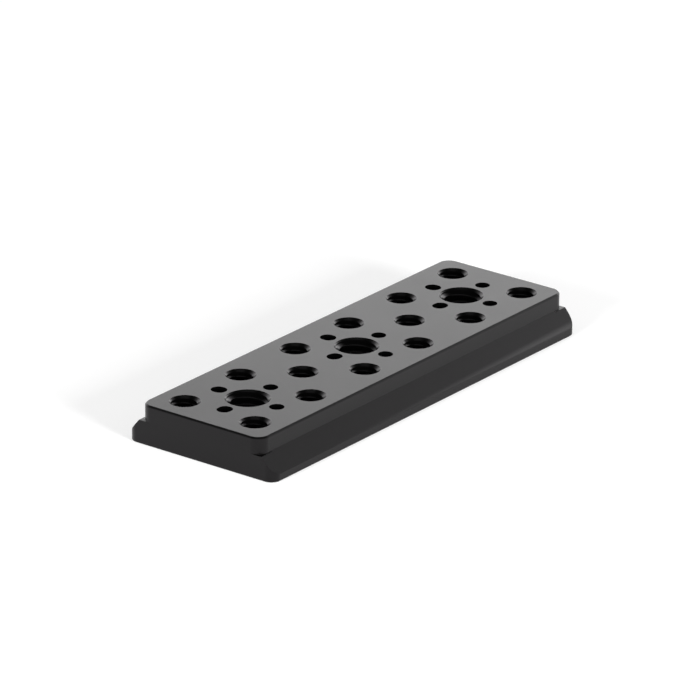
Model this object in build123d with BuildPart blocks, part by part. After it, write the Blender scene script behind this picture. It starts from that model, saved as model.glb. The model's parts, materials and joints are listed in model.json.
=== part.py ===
# Camera top plate: one milled block with a dovetail along both long sides, threaded holes for
# accessories, and locating holes for anti-twist pins around each large thread.
# Millimetres. The origin is the centre of the underside, X runs along the plate and Z points up.

import os

from build123d import *

# Hole pattern in the top face: two outer rows of small threads, and between them a middle row
# where large and small threads take turns
hole_pitch = 20.0
column_count = 6
outer_row_count = 2

# Distance from the outermost holes to the edge of the upper block
end_margin = 7.2
side_margin = 7.2

# Heights of the cross-section's three steps
wall_height = 3.8
flank_height = 4.2
land_height = 1.8

# How far each dovetail flank stands out past the upper block
dovetail_overhang = 3.6

# Corner rounding seen from above
block_corner_radius = 3.0
dovetail_corner_radius = 2.5

# The end mill that rounds the block's corners sinks just below the foot of the side walls
corner_cutter_diameter = 6.0
corner_cut_drop = 0.25

# Bevels on the outer edges
top_bevel = 0.4
bottom_bevel = 0.2
end_edge_break = 0.12

# Quarter-inch thread, 20 turns to the inch
small_tap_drill = 5.1
small_countersink = 7.2

# Three-eighths-inch thread, 16 turns to the inch
large_tap_drill = 7.94
large_countersink = 10.4

# Included angle of every countersink
countersink_angle = 90.0

# Locating holes round each large thread: two round ones, and two let out into short slots
pin_circle_radius = 8.25
pin_hole_diameter = 3.45
pin_hole_depth = 6.0
pin_slot_travel = 0.4

# Sizes that follow from the ones above
block_length = (column_count - 1) * hole_pitch + 2 * end_margin
block_width = (outer_row_count - 1) * hole_pitch + 2 * side_margin
dovetail_width = block_width + 2 * dovetail_overhang
wall_foot = land_height + flank_height
thickness = wall_foot + wall_height
corner_shelf = wall_foot - corner_cut_drop
large_pitch = 2 * hole_pitch
large_count = column_count // 2

with BuildPart() as top_plate:
    # Outline from above, with the dovetail's rounded corners
    with BuildSketch():
        RectangleRounded(block_length, dovetail_width, dovetail_corner_radius)
    extrude(amount=thickness)

    # Cross-section: upright lands, sloping flanks and upright walls
    with BuildSketch(Plane.YZ):
        with BuildLine():
            Polyline(
                (0, 0),
                (dovetail_width / 2, 0),
                (dovetail_width / 2, land_height),
                (block_width / 2, wall_foot),
                (block_width / 2, thickness),
                (0, thickness),
                close=True,
            )
        make_face()
        mirror(about=Plane.YZ)
    extrude(amount=block_length, both=True, mode=Mode.INTERSECT)

    # Fine break down the ends of both flanks, round the dovetail's corners as well
    for side in (1, -1):
        flank_plane = Plane(origin=(0, 0, 0), z_dir=(0, side * flank_height, dovetail_overhang))
        flank = top_plate.faces().filter_by(flank_plane)
        chamfer(flank.edges().filter_by(Axis.X, reverse=True), length=end_edge_break)

    # Block corners, milled down to small shelves
    with BuildSketch(Plane.XY.offset(corner_shelf)):
        with BuildLine(mode=Mode.PRIVATE) as cutter_path:
            CenterArc(
                center=(
                    block_length / 2 - block_corner_radius,
                    block_width / 2 - block_corner_radius,
                ),
                radius=block_corner_radius + corner_cutter_diameter / 2,
                start_angle=0,
                arc_size=90,
            )
        SlotArc(cutter_path.edge(), height=corner_cutter_diameter)
        mirror(about=Plane.YZ)
        mirror(about=Plane.XZ)
    extrude(amount=thickness - corner_shelf, mode=Mode.SUBTRACT)

    # Bevels round the top face and the underside
    top_face = top_plate.faces().sort_by(Axis.Z)[-1]
    chamfer(top_face.outer_wire().edges(), length=top_bevel)
    underside = top_plate.faces().sort_by(Axis.Z)[0]
    chamfer(underside.outer_wire().edges(), length=bottom_bevel)

    # Threaded holes, drilled right through and countersunk from both faces
    for face_plane in (Plane.XY.offset(thickness), -Plane.XY):
        with Locations(face_plane):
            with GridLocations(hole_pitch, hole_pitch, column_count, outer_row_count):
                CounterSinkHole(
                    small_tap_drill / 2, small_countersink / 2, counter_sink_angle=countersink_angle
                )
            with GridLocations(large_pitch, large_pitch, large_count - 1, 1):
                CounterSinkHole(
                    small_tap_drill / 2, small_countersink / 2, counter_sink_angle=countersink_angle
                )
            with GridLocations(large_pitch, large_pitch, large_count, 1):
                CounterSinkHole(
                    large_tap_drill / 2, large_countersink / 2, counter_sink_angle=countersink_angle
                )

    # Blind locating holes: each slot faces a round hole across the large thread
    with BuildSketch(Plane.XY.offset(thickness)):
        with GridLocations(large_pitch, large_pitch, large_count, 1):
            with Locations((pin_circle_radius, 0), (0, -pin_circle_radius)):
                Circle(pin_hole_diameter / 2)
            with Locations((-pin_circle_radius, 0)):
                SlotCenterToCenter(pin_slot_travel, pin_hole_diameter)
            with Locations((0, pin_circle_radius)):
                SlotCenterToCenter(pin_slot_travel, pin_hole_diameter, rotation=90)
    extrude(amount=-pin_hole_depth, mode=Mode.SUBTRACT)

top_plate.part.label = "top_plate"

os.makedirs("parts", exist_ok=True)
export_step(top_plate.part, "parts/top_plate.step")
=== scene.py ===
# Looks of the camera top plate: the milled block with a real thread in every tapped hole, in satin
# black anodised aluminium, on a white floor under soft studio light. Metres and degrees.

import json
import math

import bmesh
import bpy
from mathutils import Matrix, Vector


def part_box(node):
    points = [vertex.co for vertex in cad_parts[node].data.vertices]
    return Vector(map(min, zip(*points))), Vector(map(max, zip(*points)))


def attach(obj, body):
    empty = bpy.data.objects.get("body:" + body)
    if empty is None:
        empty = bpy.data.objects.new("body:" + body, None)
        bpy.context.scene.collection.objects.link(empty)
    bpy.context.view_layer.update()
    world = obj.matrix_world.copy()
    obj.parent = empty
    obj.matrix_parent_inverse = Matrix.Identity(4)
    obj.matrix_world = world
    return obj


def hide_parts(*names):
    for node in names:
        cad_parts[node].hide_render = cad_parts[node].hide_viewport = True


MM = 0.001
NODE = "top_plate"

# Heights and overhang of the dovetail under the upper block
LAND_HEIGHT = 1.8 * MM
FLANK_HEIGHT = 4.2 * MM
DOVETAIL_OVERHANG = 3.6 * MM

# Corners seen from above, and the cutter that mills a small shelf round each block corner
BLOCK_CORNER_RADIUS = 3.0 * MM
DOVETAIL_CORNER_RADIUS = 2.5 * MM
CORNER_CUTTER_DIAMETER = 6.0 * MM
CORNER_CUT_DROP = 0.25 * MM
CORNER_FILLET = 0.2 * MM

# Bevels. The top one's lower edge is softened, and a ring just below it keeps the walls' shading flat.
TOP_BEVEL = 0.4 * MM
BEVEL_ANGLE = 45.0
BEVEL_FOOT_ROUNDING = 0.25 * MM
BEVEL_FOOT_RING = 0.03 * MM
BOTTOM_BEVEL = 0.2 * MM
END_EDGE_BREAK = 0.12 * MM
EDGE_BREAK_STEPS = 2

# Unified threads: quarter-inch with 20 turns to the inch, three-eighths with 16. Every thread of a
# size runs out of the top face at the same heading.
INCH = 25.4 * MM
SMALL_THREAD = {
    "major": INCH / 4,
    "pitch": INCH / 20,
    "countersink": 7.2 * MM,
    "runout": 298.0,
    "steps": 56,
}
LARGE_THREAD = {
    "major": INCH * 3 / 8,
    "pitch": INCH / 16,
    "countersink": 10.4 * MM,
    "runout": 195.0,
    "steps": 80,
}
THREAD_ANGLE = 60.0

# Flat at the root and clearances of root and crest, as shares of the pitch
ROOT_FLAT = 0.25
ROOT_CLEARANCE = 0.08
CREST_CLEARANCE = 0.05
CREST_ROUNDING = 0.05 * MM

# A countersink's cone ends in a tiny flat, as a share of its radius
CONE_TIP = 0.01

# Blind locating holes
PIN_HOLE_DEPTH = 6.0 * MM

# Fineness of round forms
CORNER_STEPS = 24
HOLE_STEPS = 80
FILLET_STEPS = 8
ROUNDING_STEPS = 5
SMOOTH_ANGLE = 15.0

# How far a cutter stands out of what it cuts
CLEAR = 2.0 * MM

# Tolerances for telling which edges and faces lie on a surface, and which edges run along the plate
FLANK_TOLERANCE = 0.002 * MM
FACE_TOLERANCE = 0.001 * MM
LENGTHWISE = 0.99

# Camera: 36 mm wide sensor and a long lens, aimed near the middle of the top face
CAMERA_AZIMUTH = -52.4977
CAMERA_ELEVATION = 21.9337
CAMERA_DISTANCE = 1.48184
CAMERA_AIM = (-3.018 * MM, -0.387 * MM, 9.8 * MM)
CAMERA_ROLL = 0.236
CAMERA_LENS_MM = 334.46
CAMERA_CLIP = (0.01, 20.0)

# Finish: outer faces are blasted before they are anodised, holes and threads are cut smooth
ANODISED_COLOUR = (0.001, 0.001, 0.001)
OXIDE_IOR = 1.33
OXIDE_TINT = (1.0, 0.96, 1.0)
BLASTED = {"name": "blasted_black_anodised", "roughness": (0.27, 0.32), "grain": 1.0}
CUT = {"name": "cut_black_anodised", "roughness": (0.19, 0.22), "grain": 0.3}
GRAIN_SIZE = 0.25 * MM
GRAIN_DEPTH = 0.012 * MM
GRAIN_DETAIL = 2.0
CLOUD_SIZE = 12.0 * MM
CLOUD_DETAIL = 3.0

# Floor, with the light it adds where the camera or a reflection sees it
FLOOR_REACH = 3.0
FLOOR_COLOUR = (0.6, 0.6, 0.6)
FLOOR_ROUGHNESS = 0.9
FLOOR_LIFT = 0.45

# Room: a white backdrop up to one elevation, then a fall to the ceiling's level at the next
WHITE = (1.0, 1.0, 1.0, 1.0)
BACKDROP_TOP = 26.0
CEILING_EDGE = 48.0
CEILING_LEVEL = 0.01
AMBIENT_LEVEL = 0.35

# Each lamp has an azimuth, elevation, distance, width, height and power
LAMPS = {
    "back_right_strip": (101.0, 17.0, 0.7, 1.24, 0.26, 1.9),
    "back_left_strip": (166.0, 13.0, 2.5, 2.0, 1.25, 8.0),
    "left_softbox": (-94.0, 14.0, 1.4, 0.4, 0.5, 22.0),
    "right_softbox": (-12.0, 11.0, 1.4, 0.4, 0.5, 40.0),
    "front_fill": (-52.5, 61.0, 1.2, 1.2, 0.45, 0.5),
}

# These are hidden from reflections: they light the floor, and the glossy plate mirrors neither
FLOOR_LAMPS = ("left_softbox", "right_softbox")


def circle(radius, steps=HOLE_STEPS, centre=(0.0, 0.0)):
    """Points round a circle, counterclockwise."""
    turns = [math.tau * i / steps for i in range(steps)]
    return [(centre[0] + radius * math.cos(t), centre[1] + radius * math.sin(t)) for t in turns]


def arc(centre, radius, start, end, steps):
    """Points along an arc between two angles in degrees, both ends included."""
    angles = [math.radians(start + (end - start) * i / steps) for i in range(steps + 1)]
    return [(centre[0] + radius * math.cos(a), centre[1] + radius * math.sin(a)) for a in angles]


def rounded_rectangle(length, width, radius):
    """Outline about the origin, counterclockwise from the corner at +X +Y."""
    points = []
    for side_x, side_y, start in ((1, 1, 0), (-1, 1, 90), (-1, -1, 180), (1, -1, 270)):
        centre = (side_x * (length / 2 - radius), side_y * (width / 2 - radius))
        points += arc(centre, radius, start, start + 90, CORNER_STEPS)
    return points


def stadium(diameter, travel, along_x):
    """Outline of a slot about the origin: a circle let out by a short travel."""
    half = travel / 2
    steps = HOLE_STEPS // 2
    right = arc((half, 0.0), diameter / 2, -90, 90, steps)
    left = arc((-half, 0.0), diameter / 2, 90, 270, steps)
    points = right + left
    return points if along_x else [(-y, x) for x, y in points]


def new_object(name, mesh):
    """Turns a bmesh into an object in the scene."""
    bmesh.ops.recalc_face_normals(mesh, faces=mesh.faces)
    data = bpy.data.meshes.new(name)
    mesh.to_mesh(data)
    mesh.free()
    made = bpy.data.objects.new(name, data)
    bpy.context.scene.collection.objects.link(made)
    return made


def stack(name, layers, place=Matrix.Identity(4)):
    """Closed solid through outlines with equal numbers of points, each at its own height."""
    mesh = bmesh.new()
    rings = [[mesh.verts.new(place @ Vector((x, y, z))) for x, y in outline] for outline, z in layers]
    for lower, upper in zip(rings, rings[1:]):
        for i, corner in enumerate(lower):
            j = (i + 1) % len(lower)
            mesh.faces.new((corner, lower[j], upper[j], upper[i]))
    mesh.faces.new(rings[0][::-1])
    mesh.faces.new(rings[-1])
    return new_object(name, mesh)


def combine(target, operation, cutters):
    """Applies one boolean after another to the target, and removes the cutters."""
    for cutter in cutters:
        modifier = target.modifiers.new(cutter.name, "BOOLEAN")
        modifier.operation = operation
        modifier.solver = "MANIFOLD"
        modifier.object = cutter
    graph = bpy.context.evaluated_depsgraph_get()
    result = bpy.data.meshes.new_from_object(target.evaluated_get(graph))
    target.modifiers.clear()
    target.data = result
    for cutter in cutters:
        bpy.data.objects.remove(cutter)


def thread_profile(bore_radius, thread):
    """One pitch of the groove, as shares of the pitch and radii, from the middle of the crest up."""
    pitch = thread["pitch"]
    half_angle = math.radians(THREAD_ANGLE / 2)
    root_radius = thread["major"] / 2 + ROOT_CLEARANCE * pitch
    crest_radius = bore_radius + CREST_CLEARANCE * pitch
    flank = (root_radius - crest_radius) * math.tan(half_angle) / pitch
    crest = (1 - ROOT_FLAT) / 2 - flank

    # Crest edge rounded in two facets, then the flank up to the root
    back = CREST_ROUNDING / pitch
    first_turn = half_angle * 2 / 3
    second_turn = half_angle * 4 / 3
    facet = back * (1 + math.sin(half_angle)) / (math.cos(first_turn) + math.cos(second_turn))
    knee = crest - back + facet * math.cos(first_turn)
    rising = [
        (crest - back, crest_radius),
        (knee, crest_radius + facet * pitch * math.sin(first_turn)),
        (crest + back * math.sin(half_angle), crest_radius + CREST_ROUNDING * math.cos(half_angle)),
        (0.5 - ROOT_FLAT / 2, root_radius),
    ]
    falling = [(1 - share, radius) for share, radius in reversed(rising)]
    return rising + falling


def tap(name, centre, bore_radius, thread, low, high, top):
    """Rod that cuts a right-hand thread. At the runout heading its groove is centred on top."""
    pitch = thread["pitch"]
    profile = thread_profile(bore_radius, thread)
    steps = thread["steps"]
    count = len(profile)
    runout = math.radians(thread["runout"])
    middle = top - pitch / 2
    first = middle - math.ceil((middle - low) / pitch) * pitch
    turns = math.ceil((high - first) / pitch) + 1

    mesh = bmesh.new()
    columns = []
    for i in range(steps):
        turn = runout + math.tau * i / steps
        rows = turns * count + (count if i == 0 else 0)
        column = []
        for row in range(rows):
            share, radius = profile[row % count]
            height = first + pitch * (row // count + share + i / steps)
            x = centre[0] + radius * math.cos(turn)
            y = centre[1] + radius * math.sin(turn)
            column.append(mesh.verts.new((x, y, height)))
        columns.append(column)

    last_row = turns * count - 1
    for i in range(steps):
        left = columns[i]
        right = columns[i + 1] if i + 1 < steps else columns[0][count:]
        for row in range(last_row):
            mesh.faces.new((left[row], right[row], right[row + 1], left[row + 1]))

    # Pointed caps close the rod well outside the plate
    seam = columns[0]
    low_rim = [column[0] for column in columns] + seam[count:0:-1]
    high_rim = [column[last_row] for column in columns] + seam[last_row + count:last_row:-1]
    for rim, height in ((low_rim, first - pitch), (high_rim, first + pitch * (turns + 2))):
        tip = mesh.verts.new((centre[0], centre[1], height))
        for i, corner in enumerate(rim):
            mesh.faces.new((corner, rim[(i + 1) % len(rim)], tip))
    return new_object(name, mesh)


def countersink(name, centre, diameter, surface, upward):
    """Cone of 90 degrees, point down the hole, as wide as the countersink at the surface."""
    radius = diameter / 2
    sign = 1 if upward else -1
    tip = radius * CONE_TIP
    layers = [
        (circle(tip, centre=centre), surface - sign * (radius - tip)),
        (circle(radius + CLEAR, centre=centre), surface + sign * CLEAR),
    ]
    return stack(name, layers if upward else layers[::-1])


def make_blank(length, width, thickness):
    """The milled block before its holes."""
    block_width = width - 2 * DOVETAIL_OVERHANG
    wall_foot = LAND_HEIGHT + FLANK_HEIGHT
    inset = (length - 2 * BOTTOM_BEVEL, width - 2 * BOTTOM_BEVEL)
    base = stack(
        "base",
        [
            (rounded_rectangle(*inset, DOVETAIL_CORNER_RADIUS - BOTTOM_BEVEL), 0.0),
            (rounded_rectangle(length, width, DOVETAIL_CORNER_RADIUS), BOTTOM_BEVEL),
            (rounded_rectangle(length, width, DOVETAIL_CORNER_RADIUS), thickness),
        ],
    )

    # Cross-section of the dovetail, drawn across the plate and run along it
    slope = FLANK_HEIGHT / DOVETAIL_OVERHANG
    skirt = width / 2 + CLEAR
    section = [
        (-skirt, -CLEAR),
        (skirt, -CLEAR),
        (skirt, LAND_HEIGHT - slope * CLEAR),
        (block_width / 2, wall_foot),
        (-block_width / 2, wall_foot),
        (-skirt, LAND_HEIGHT - slope * CLEAR),
    ]
    along = Matrix(((0, 0, 1, 0), (1, 0, 0, 0), (0, 1, 0, 0), (0, 0, 0, 1)))
    reach = length / 2 + CLEAR
    dovetail = stack("dovetail", [(section, -reach), (section, reach)], along)
    combine(base, "INTERSECT", [dovetail])
    break_flank_ends(base, block_width / 2, wall_foot, slope)

    # Small shelves milled round the block's corners
    shelf = wall_foot - CORNER_CUT_DROP
    cutters = []
    for side_x in (1, -1):
        for side_y in (1, -1):
            centre = (length / 2 - BLOCK_CORNER_RADIUS, block_width / 2 - BLOCK_CORNER_RADIUS)
            outer = BLOCK_CORNER_RADIUS + CORNER_CUTTER_DIAMETER
            middle = (centre[0], centre[1] + BLOCK_CORNER_RADIUS + CORNER_CUTTER_DIAMETER / 2)
            outline = [centre]
            outline += arc(centre, outer, 0, 90, 2 * CORNER_STEPS)
            outline += arc(middle, CORNER_CUTTER_DIAMETER / 2, 90, 270, 2 * CORNER_STEPS)[1:]
            outline = [(side_x * x, side_y * y) for x, y in outline]
            cutters.append(stack("corner_cutter", [(outline, shelf), (outline, thickness + CLEAR)]))
    combine(base, "DIFFERENCE", cutters)

    # Upper block with its bevelled rim, let into the dovetail below
    block = stack("block", block_layers(length, block_width, shelf, thickness))
    combine(base, "UNION", [block])
    return base


def block_layers(length, width, shelf, thickness):
    """Outlines of the upper block from below: a fillet at the corners' foot, then the bevelled rim."""
    # Way that the middle of a right-angled corner moves out for each unit its radius loses
    corner_gain = math.sqrt(2) - 1
    layers = []
    for turn in (math.radians(90 * i / FILLET_STEPS) for i in range(FILLET_STEPS + 1)):
        fill = CORNER_FILLET * (1 - math.sin(turn))
        radius = BLOCK_CORNER_RADIUS - fill / corner_gain
        height = shelf + CORNER_FILLET * (1 - math.cos(turn))
        layers.append((rounded_rectangle(length, width, radius), height))
    layers.insert(0, (layers[0][0], LAND_HEIGHT))

    # The bevel's lower edge is softened
    foot = thickness - TOP_BEVEL - BEVEL_FOOT_ROUNDING * math.tan(math.radians(BEVEL_ANGLE / 2))
    layers.append((layers[-1][0], foot - BEVEL_FOOT_RING))
    for turn in (math.radians(BEVEL_ANGLE * i / ROUNDING_STEPS) for i in range(ROUNDING_STEPS + 1)):
        inset = BEVEL_FOOT_ROUNDING * (1 - math.cos(turn))
        outline = rounded_rectangle(length - 2 * inset, width - 2 * inset, BLOCK_CORNER_RADIUS - inset)
        layers.append((outline, foot + BEVEL_FOOT_ROUNDING * math.sin(turn)))
    rim = rounded_rectangle(
        length - 2 * TOP_BEVEL, width - 2 * TOP_BEVEL, BLOCK_CORNER_RADIUS - TOP_BEVEL
    )
    layers.append((rim, thickness))
    return layers


def break_flank_ends(base, foot_y, foot_z, slope):
    """Fine rounded break along the flanks' end edges and round the dovetail's corners."""
    mesh = bmesh.new()
    mesh.from_mesh(base.data)

    def on_flank(vertex):
        """Whether a vertex lies on either sloping flank."""
        _, y, z = vertex.co
        gap = abs(foot_z - (abs(y) - foot_y) * slope - z)
        return gap < FLANK_TOLERANCE and z > LAND_HEIGHT - FLANK_TOLERANCE

    def runs_along(edge):
        """Whether an edge runs lengthwise."""
        lead = edge.verts[1].co - edge.verts[0].co
        return abs(lead.x) > LENGTHWISE * lead.length

    edges = [
        edge
        for edge in mesh.edges
        if all(on_flank(vertex) for vertex in edge.verts)
        and not runs_along(edge)
        and edge.calc_face_angle(0.0) > math.radians(SMOOTH_ANGLE)
    ]
    bmesh.ops.bevel(
        mesh,
        geom=edges,
        offset=END_EDGE_BREAK,
        offset_type="OFFSET",
        segments=EDGE_BREAK_STEPS,
        profile=0.5,
        affect="EDGES",
        clamp_overlap=True,
    )
    mesh.to_mesh(base.data)
    mesh.free()


def hole_places(record):
    """Centre, kind and bore radius of each tapped hole, from the part's own mounts."""
    places = []
    for mount in record["mounts"]:
        x, y = mount["pos_m"][:2]
        sizes = mount["dims"]
        if mount["kind"] == "threaded_hole":
            places.append(((x, y), LARGE_THREAD, sizes["r_mm"] * MM))
        elif mount["name"].startswith("small_threads"):
            reach_x = sizes["spacing_x_mm"] * MM / 2
            reach_y = sizes.get("spacing_y_mm", 0.0) * MM / 2
            for side_x in (-1, 1):
                for side_y in (-1, 1) if reach_y else (0,):
                    centre = (x + side_x * reach_x, y + side_y * reach_y)
                    places.append((centre, SMALL_THREAD, sizes["hole_r_mm"] * MM))
    return places


def cut_threads(plate, record, thickness):
    """Taps every threaded hole and countersinks it from both faces."""
    rods = []
    cones = []
    for centre, thread, bore_radius in hole_places(record):
        rods.append(tap("tap", centre, bore_radius, thread, -CLEAR, thickness + CLEAR, thickness))
        cones.append(countersink("cone", centre, thread["countersink"], thickness, True))
        cones.append(countersink("cone", centre, thread["countersink"], 0.0, False))
    combine(plate, "DIFFERENCE", rods)
    combine(plate, "DIFFERENCE", cones)


def cut_pin_holes(plate, record, thickness):
    """Blind locating holes: round ones at +X and -Y of each large thread, slots at -X and +Y."""
    drills = []
    for mount in record["mounts"]:
        if not mount["name"].startswith("pins_"):
            continue
        x, y = mount["pos_m"][:2]
        sizes = mount["dims"]
        along_x = "spacing_x_mm" in sizes
        reach = (sizes["spacing_x_mm"] if along_x else sizes["spacing_y_mm"]) * MM / 2
        diameter = 2 * sizes["hole_r_mm"] * MM
        travel = sizes["slot_length_mm"] * MM - diameter
        round_side = 1 if along_x else -1
        for side in (1, -1):
            outline = stadium(diameter, travel if side != round_side else 0.0, along_x)
            shift = (side * reach, 0.0) if along_x else (0.0, side * reach)
            outline = [(x + shift[0] + px, y + shift[1] + py) for px, py in outline]
            drills.append(
                stack("drill", [(outline, thickness - PIN_HOLE_DEPTH), (outline, thickness + CLEAR)])
            )
    combine(plate, "DIFFERENCE", drills)


def hole_discs(record):
    """Centre and outer radius of every hole in the top face."""
    discs = [(centre, thread["countersink"] / 2) for centre, thread, _ in hole_places(record)]
    for mount in record["mounts"]:
        if mount["name"].startswith("pins_"):
            sizes = mount["dims"]
            reach_x = sizes.get("spacing_x_mm", 0.0) * MM / 2
            reach_y = sizes.get("spacing_y_mm", 0.0) * MM / 2
            radius = sizes["slot_length_mm"] * MM / 2
            for side in (1, -1):
                centre = (mount["pos_m"][0] + side * reach_x, mount["pos_m"][1] + side * reach_y)
                discs.append((centre, radius))
    return discs


def finish_faces(piece, record, thickness):
    """Smooth shading with edges kept sharp, and the cut finish inside every hole."""
    discs = hole_discs(record)
    for face in piece.data.polygons:
        face.use_smooth = True
        x, y, z = face.center
        inside = FACE_TOLERANCE < z < thickness - FACE_TOLERANCE
        cut = inside and any(math.hypot(x - cx, y - cy) < radius for (cx, cy), radius in discs)
        face.material_index = 1 if cut else 0
    piece.data.set_sharp_from_angle(angle=math.radians(SMOOTH_ANGLE))


def make_plate(frame):
    """The whole plate, in place of the CAD solid."""
    low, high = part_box(NODE)
    thickness = high.z - low.z
    plate = make_blank(high.x - low.x, high.y - low.y, thickness)
    cut_threads(plate, frame["record"], thickness)
    cut_pin_holes(plate, frame["record"], thickness)
    plate.data.materials.clear()
    for finish in (BLASTED, CUT):
        plate.data.materials.append(black_anodised(**finish))
    finish_faces(plate, frame["record"], thickness)
    plate.name = "milled_plate"
    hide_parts(NODE)
    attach(plate, "root")


def link(tree, source, target):
    """Joins two sockets of a node tree."""
    tree.links.new(source, target)


def black_anodised(name, roughness, grain):
    """Dyed oxide over aluminium: near black, with a slightly uneven sheen and a very fine grain."""
    material = bpy.data.materials.new(name)
    material.use_nodes = True
    tree = material.node_tree
    shader = tree.nodes["Principled BSDF"]
    shader.inputs["Base Color"].default_value = (*ANODISED_COLOUR, 1.0)
    shader.inputs["Metallic"].default_value = 0.0
    shader.inputs["IOR"].default_value = OXIDE_IOR
    shader.inputs["Specular Tint"].default_value = (*OXIDE_TINT, 1.0)

    place = tree.nodes.new("ShaderNodeTexCoord")
    pits = tree.nodes.new("ShaderNodeTexNoise")
    pits.inputs["Scale"].default_value = 1 / GRAIN_SIZE
    pits.inputs["Detail"].default_value = GRAIN_DETAIL
    link(tree, place.outputs["Object"], pits.inputs["Vector"])

    bump = tree.nodes.new("ShaderNodeBump")
    bump.inputs["Strength"].default_value = grain
    bump.inputs["Distance"].default_value = GRAIN_DEPTH
    link(tree, pits.outputs["Fac"], bump.inputs["Height"])
    link(tree, bump.outputs["Normal"], shader.inputs["Normal"])

    cloud = tree.nodes.new("ShaderNodeTexNoise")
    cloud.inputs["Scale"].default_value = 1 / CLOUD_SIZE
    cloud.inputs["Detail"].default_value = CLOUD_DETAIL
    link(tree, place.outputs["Object"], cloud.inputs["Vector"])
    spread = tree.nodes.new("ShaderNodeMapRange")
    spread.inputs["To Min"].default_value = roughness[0]
    spread.inputs["To Max"].default_value = roughness[1]
    link(tree, cloud.outputs["Fac"], spread.inputs["Value"])
    link(tree, spread.outputs["Result"], shader.inputs["Roughness"])
    return material


def make_floor():
    """Pale floor that keeps the plate's shadow."""
    mesh = bmesh.new()
    bmesh.ops.create_grid(mesh, x_segments=1, y_segments=1, size=FLOOR_REACH)
    floor = new_object("floor", mesh)
    material = bpy.data.materials.new("pale_floor")
    material.use_nodes = True
    tree = material.node_tree
    shader = tree.nodes["Principled BSDF"]
    shader.inputs["Base Color"].default_value = (*FLOOR_COLOUR, 1.0)
    shader.inputs["Roughness"].default_value = FLOOR_ROUGHNESS
    shader.inputs["Specular IOR Level"].default_value = 0.0
    shader.inputs["Emission Color"].default_value = WHITE

    # Camera, reflection and transmission rays see the floor lifted by a fixed amount
    path = tree.nodes.new("ShaderNodeLightPath")
    seen = tree.nodes.new("ShaderNodeMath")
    seen.operation = "MAXIMUM"
    link(tree, path.outputs["Is Camera Ray"], seen.inputs[0])
    link(tree, path.outputs["Is Glossy Ray"], seen.inputs[1])
    seen_all = tree.nodes.new("ShaderNodeMath")
    seen_all.operation = "MAXIMUM"
    link(tree, seen.outputs[0], seen_all.inputs[0])
    link(tree, path.outputs["Is Transmission Ray"], seen_all.inputs[1])
    lift = tree.nodes.new("ShaderNodeMath")
    lift.operation = "MULTIPLY"
    lift.inputs[1].default_value = FLOOR_LIFT
    link(tree, seen_all.outputs[0], lift.inputs[0])
    link(tree, lift.outputs[0], shader.inputs["Emission Strength"])
    floor.data.materials.append(material)


def make_world():
    """White backdrop round the horizon under a dim ceiling."""
    world = bpy.data.worlds.new("studio")
    bpy.context.scene.world = world
    world.use_nodes = True
    tree = world.node_tree
    background = tree.nodes["Background"]

    place = tree.nodes.new("ShaderNodeTexCoord")
    split = tree.nodes.new("ShaderNodeSeparateXYZ")
    link(tree, place.outputs["Generated"], split.inputs[0])
    height = tree.nodes.new("ShaderNodeMapRange")
    height.interpolation_type = "SMOOTHSTEP"
    height.inputs["From Min"].default_value = math.sin(math.radians(BACKDROP_TOP))
    height.inputs["From Max"].default_value = math.sin(math.radians(CEILING_EDGE))
    height.inputs["To Min"].default_value = 1.0
    height.inputs["To Max"].default_value = CEILING_LEVEL
    link(tree, split.outputs["Z"], height.inputs["Value"])

    path = tree.nodes.new("ShaderNodeLightPath")
    seen = tree.nodes.new("ShaderNodeMath")
    seen.operation = "MAXIMUM"
    link(tree, path.outputs["Is Glossy Ray"], seen.inputs[0])
    link(tree, path.outputs["Is Transmission Ray"], seen.inputs[1])

    # Diffuse light is an even level, reflections see the room, and the camera sees white
    room = tree.nodes.new("ShaderNodeMix")
    room.data_type = "FLOAT"
    room.inputs["A"].default_value = AMBIENT_LEVEL
    link(tree, seen.outputs[0], room.inputs["Factor"])
    link(tree, height.outputs["Result"], room.inputs["B"])
    white = tree.nodes.new("ShaderNodeMix")
    white.data_type = "FLOAT"
    white.inputs["B"].default_value = 1.0
    link(tree, path.outputs["Is Camera Ray"], white.inputs["Factor"])
    link(tree, room.outputs["Result"], white.inputs["A"])
    background.inputs["Color"].default_value = WHITE
    link(tree, white.outputs["Result"], background.inputs["Strength"])


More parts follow.
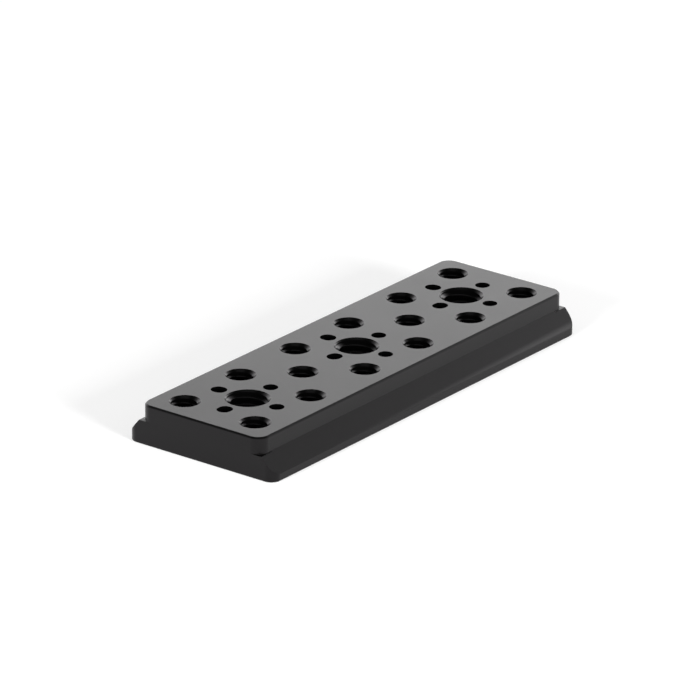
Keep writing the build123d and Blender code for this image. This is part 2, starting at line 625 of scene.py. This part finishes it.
def heading(azimuth, elevation):
    """Direction from the plate, by compass and height above the horizon."""
    a = math.radians(azimuth)
    e = math.radians(elevation)
    return Vector((math.sin(a) * math.cos(e), -math.cos(a) * math.cos(e), math.sin(e)))


def make_lamp(name, azimuth, elevation, distance, width, height, power):
    """Softbox aimed at the plate."""
    light = bpy.data.lights.new(name, "AREA")
    light.shape = "RECTANGLE"
    light.size = width
    light.size_y = height
    light.energy = power
    lamp = bpy.data.objects.new(name, light)
    bpy.context.scene.collection.objects.link(lamp)
    lamp.visible_glossy = name not in FLOOR_LAMPS
    back = heading(azimuth, elevation)
    lamp.location = back * distance
    lamp.rotation_euler = (-back).to_track_quat("-Z", "Y").to_euler()


def make_camera():
    """Camera at its place, aimed and rolled as the photograph was taken."""
    data = bpy.data.cameras.new("camera")
    data.lens = CAMERA_LENS_MM
    data.clip_start, data.clip_end = CAMERA_CLIP
    camera = bpy.data.objects.new("camera", data)
    bpy.context.scene.collection.objects.link(camera)
    back = heading(CAMERA_AZIMUTH, CAMERA_ELEVATION)
    look = (-back).to_track_quat("-Z", "Y").to_matrix().to_4x4()
    place = Matrix.Translation(Vector(CAMERA_AIM) + back * CAMERA_DISTANCE)
    camera.matrix_world = place @ look @ Matrix.Rotation(math.radians(CAMERA_ROLL), 4, "Z")
    bpy.context.scene.camera = camera


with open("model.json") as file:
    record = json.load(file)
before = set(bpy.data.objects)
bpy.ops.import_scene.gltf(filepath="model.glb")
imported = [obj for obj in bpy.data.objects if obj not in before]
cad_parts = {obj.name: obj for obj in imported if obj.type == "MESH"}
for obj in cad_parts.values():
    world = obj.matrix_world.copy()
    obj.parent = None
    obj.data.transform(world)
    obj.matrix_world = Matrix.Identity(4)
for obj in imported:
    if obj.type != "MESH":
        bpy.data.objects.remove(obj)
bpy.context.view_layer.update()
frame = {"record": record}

make_camera()
make_plate(frame)
make_floor()
make_world()
for name, setting in LAMPS.items():
    make_lamp(name, *setting)

settings = bpy.context.scene.view_settings
settings.view_transform = "Standard"
